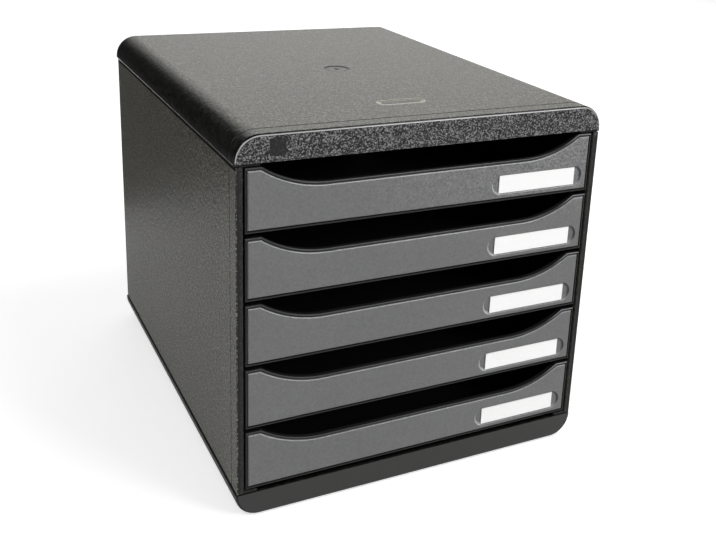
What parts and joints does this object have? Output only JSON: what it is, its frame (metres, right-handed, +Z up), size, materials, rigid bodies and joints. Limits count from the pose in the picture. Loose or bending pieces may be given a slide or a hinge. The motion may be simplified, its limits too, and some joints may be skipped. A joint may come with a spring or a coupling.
{
  "type": "desktop file drawer",
  "caption": "Free-standing desktop drawer unit for paper, with rounded covers, side panels and a stack of shallow sliding drawers with finger scoops and label pockets.",
  "frame": {"origin": "middle of the casing's footprint, at the underside of the feet", "axes": "+Z up, -Y towards the front where the drawers pull out, +X to the right seen from the front"},
  "size_m": [0.278, 0.348, 0.2739],
  "materials": {
    "casing_black": "fine spark-eroded grain, satin",
    "tray_black": "fine grain, satin",
    "front_grey": "fine mottled grain, satin",
    "label_paper": "plain white card",
    "foot_rubber": "matte"
  },
  "bodies": {
    "case": {"top_cover": "casing_black", "base_cover": "casing_black", "left_side_panel": "casing_black", "right_side_panel": "casing_black", "back_panel": "casing_black", "foot_front_left": "foot_rubber", "foot_front_right": "foot_rubber", "foot_rear_left": "foot_rubber", "foot_rear_right": "foot_rubber"},
    "drawer_1": {"drawer_1_tray": "tray_black", "drawer_1_front": "front_grey", "drawer_1_label": "label_paper"},
    "drawer_2": {"drawer_2_tray": "tray_black", "drawer_2_front": "front_grey", "drawer_2_label": "label_paper"},
    "drawer_3": {"drawer_3_tray": "tray_black", "drawer_3_front": "front_grey", "drawer_3_label": "label_paper"},
    "drawer_4": {"drawer_4_tray": "tray_black", "drawer_4_front": "front_grey", "drawer_4_label": "label_paper"},
    "drawer_5": {"drawer_5_tray": "tray_black", "drawer_5_front": "front_grey", "drawer_5_label": "label_paper"}
  },
  "joints": [
    {"name": "drawer_1_slide", "type": "slide", "parent": "case", "child": "drawer_1", "axis": [0, -1, 0], "range_m": [0, 0.25]},
    {"name": "drawer_2_slide", "type": "slide", "parent": "case", "child": "drawer_2", "axis": [0, -1, 0], "range_m": [0, 0.25]},
    {"name": "drawer_3_slide", "type": "slide", "parent": "case", "child": "drawer_3", "axis": [0, -1, 0], "range_m": [0, 0.25]},
    {"name": "drawer_4_slide", "type": "slide", "parent": "case", "child": "drawer_4", "axis": [0, -1, 0], "range_m": [0, 0.25]},
    {"name": "drawer_5_slide", "type": "slide", "parent": "case", "child": "drawer_5", "axis": [0, -1, 0], "range_m": [0, 0.25]}
  ]
}
